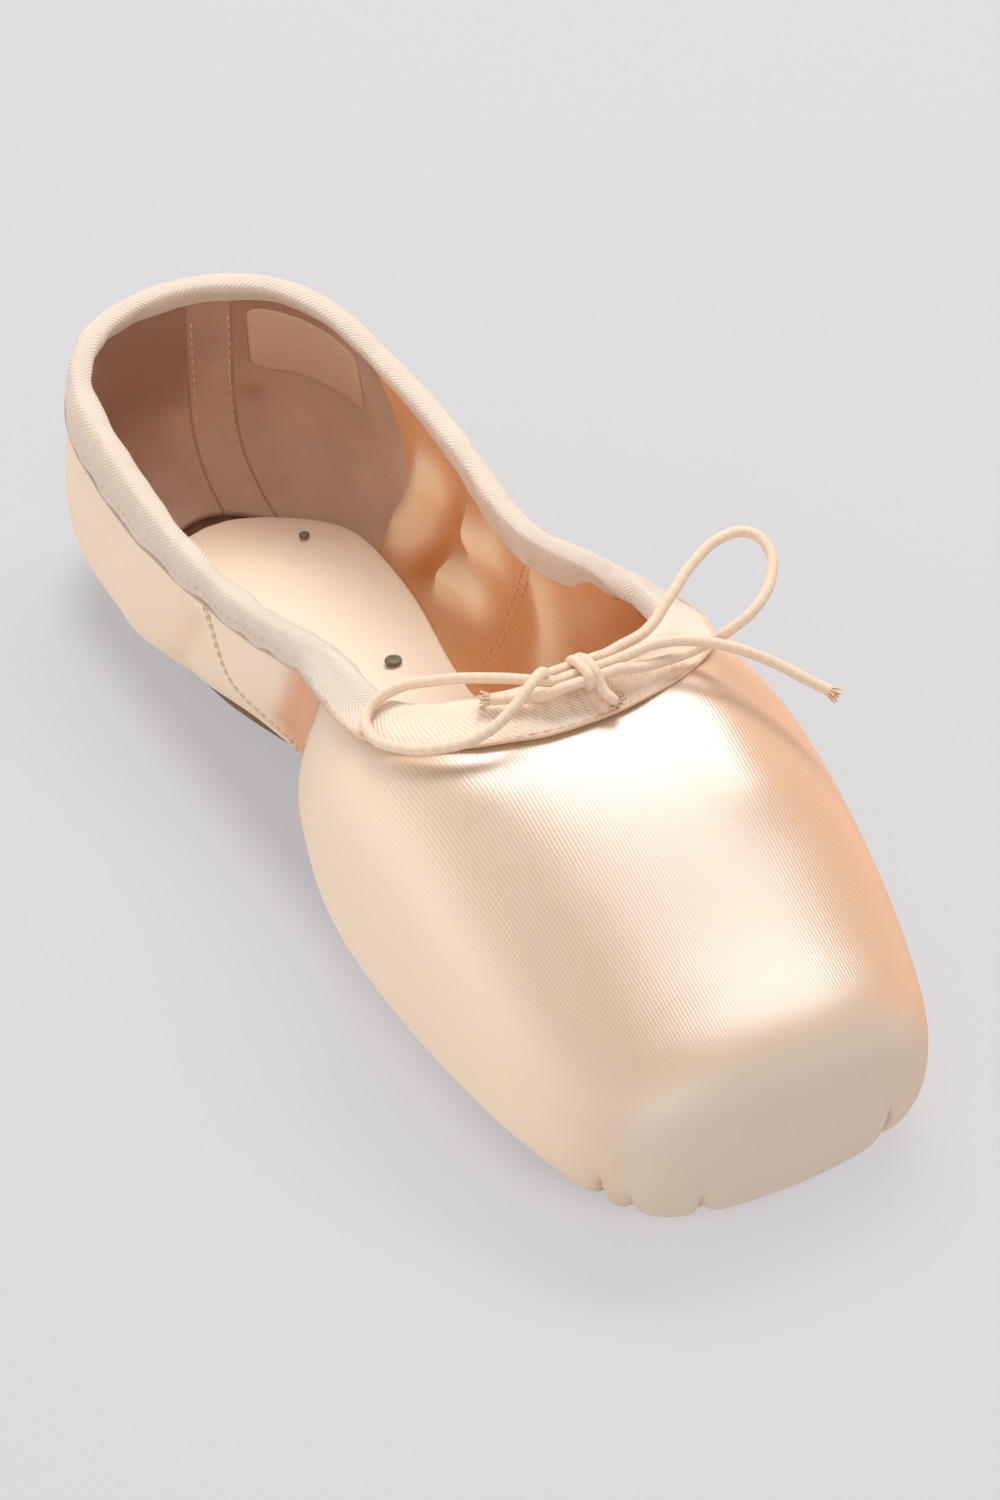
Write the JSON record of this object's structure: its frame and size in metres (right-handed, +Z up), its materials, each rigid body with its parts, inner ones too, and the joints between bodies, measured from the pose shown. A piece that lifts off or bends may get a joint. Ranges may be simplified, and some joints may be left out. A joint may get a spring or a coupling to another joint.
{
  "type": "pointe shoe",
  "caption": "Satin ballet pointe shoe with a stiff flat-tipped toe box, a low open collar in a drawstring casing tied in a bow at the throat, and a narrow leather sole.",
  "frame": {"origin": "on the floor, midway along the shoe, on its middle line", "axes": "+Z up from the floor, -Y towards the toe platform, +X to the right seen from the heel looking along +Y from the toe"},
  "size_m": [0.0832, 0.2328, 0.0741],
  "materials": {
    "satin": "peach satin with a soft sheen",
    "leather": "plain brown leather, matt",
    "board": "pale woven cover on board, matt",
    "tape": "pale diagonal-weave tape, soft",
    "label": "bare woven patch",
    "tack": "dull grey nail head",
    "cord": "round braided cord"
  },
  "bodies": {
    "root": {"upper": "satin", "outsole": "leather", "insole": "board", "casing": "tape", "label": "label", "tack_waist": "tack", "tack_heel": "tack", "knot": "cord", "loop_left": "cord", "loop_right": "cord", "end_right": "cord", "end_left": "cord"}
  },
  "joints": []
}
